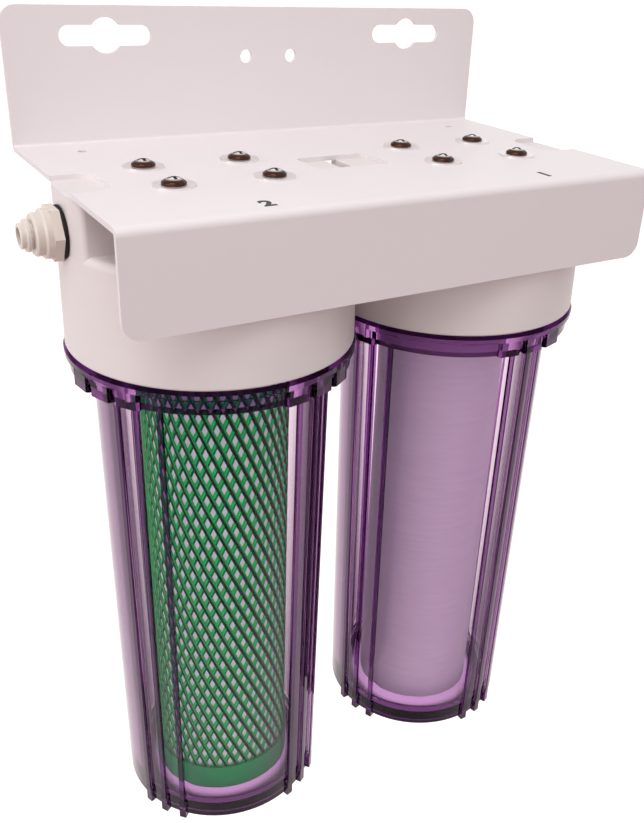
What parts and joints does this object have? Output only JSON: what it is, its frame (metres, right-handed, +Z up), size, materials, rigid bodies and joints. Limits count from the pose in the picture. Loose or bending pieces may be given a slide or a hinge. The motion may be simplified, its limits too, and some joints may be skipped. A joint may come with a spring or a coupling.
{
  "type": "two-canister water filter",
  "caption": "Wall-hung water filter: a bent bracket carries moulded heads with clear ribbed sumps screwed up round a carbon and a sediment cartridge.",
  "frame": {"origin": "on the wall face of the back plate, midway between the two keyhole slots", "axes": "+Z up, +Y into the wall, +X along the bracket towards the inlet"},
  "size_m": [0.273, 0.136, 0.3635],
  "materials": {
    "bracket": "satin",
    "head": "satin",
    "screw": "polished",
    "fitting": "satin",
    "seal": "matte",
    "gasket": "matte",
    "sump": "clear, tinted",
    "green": "satin",
    "wrap": "matte",
    "carbon": "matte",
    "core": "satin",
    "sediment": "matte"
  },
  "bodies": {
    "frame": {"mounting_bracket": "bracket", "left_head": "head", "right_head": "head", "left_head_screws": "screw", "right_head_screws": "screw", "left_head_washers": "screw", "right_head_washers": "screw", "joining_nipple": "fitting", "inlet_fitting": "fitting", "outlet_fitting": "fitting", "inlet_tube_seal": "seal", "outlet_tube_seal": "seal", "inlet_port_seal": "seal", "outlet_port_seal": "seal"},
    "left_cartridge": {"carbon_top_gasket": "gasket", "carbon_top_cap": "green", "carbon_net": "green", "carbon_wrap": "wrap", "carbon_block": "carbon", "carbon_core": "core", "carbon_bottom_cap": "green", "carbon_bottom_gasket": "gasket"},
    "right_cartridge": {"sediment_element": "sediment", "sediment_core": "core"},
    "left_sump": {"left_sump": "sump", "left_sump_seal": "seal"},
    "right_sump": {"right_sump": "sump", "right_sump_seal": "seal"},
    "inlet_collet": {"inlet_collet": "fitting"},
    "outlet_collet": {"outlet_collet": "fitting"}
  },
  "joints": [
    {"name": "left_cartridge_drop", "type": "slide", "parent": "frame", "child": "left_cartridge", "axis": [0, 0, -1], "range_m": [0, 0.018]},
    {"name": "left_sump_turn", "type": "hinge", "parent": "left_cartridge", "child": "left_sump", "pos_m": [-0.0617, -0.073, -0.2], "axis": [0, 0, -1], "range_deg": [0, 1080]},
    {"name": "right_cartridge_drop", "type": "slide", "parent": "frame", "child": "right_cartridge", "axis": [0, 0, -1], "range_m": [0, 0.018]},
    {"name": "right_sump_turn", "type": "hinge", "parent": "right_cartridge", "child": "right_sump", "pos_m": [0.0617, -0.073, -0.2], "axis": [0, 0, -1], "range_deg": [0, 1080]},
    {"name": "inlet_collet_press", "type": "slide", "parent": "frame", "child": "inlet_collet", "axis": [-1, 0, 0], "range_m": [0, 0.0012]},
    {"name": "outlet_collet_press", "type": "slide", "parent": "frame", "child": "outlet_collet", "axis": [1, 0, 0], "range_m": [0, 0.0012]}
  ],
  "couplings": [
    {"joint": "left_cartridge_drop", "follows": "left_sump_turn", "m_per_rad": 0.00095493},
    {"joint": "right_cartridge_drop", "follows": "right_sump_turn", "m_per_rad": 0.00095493}
  ]
}
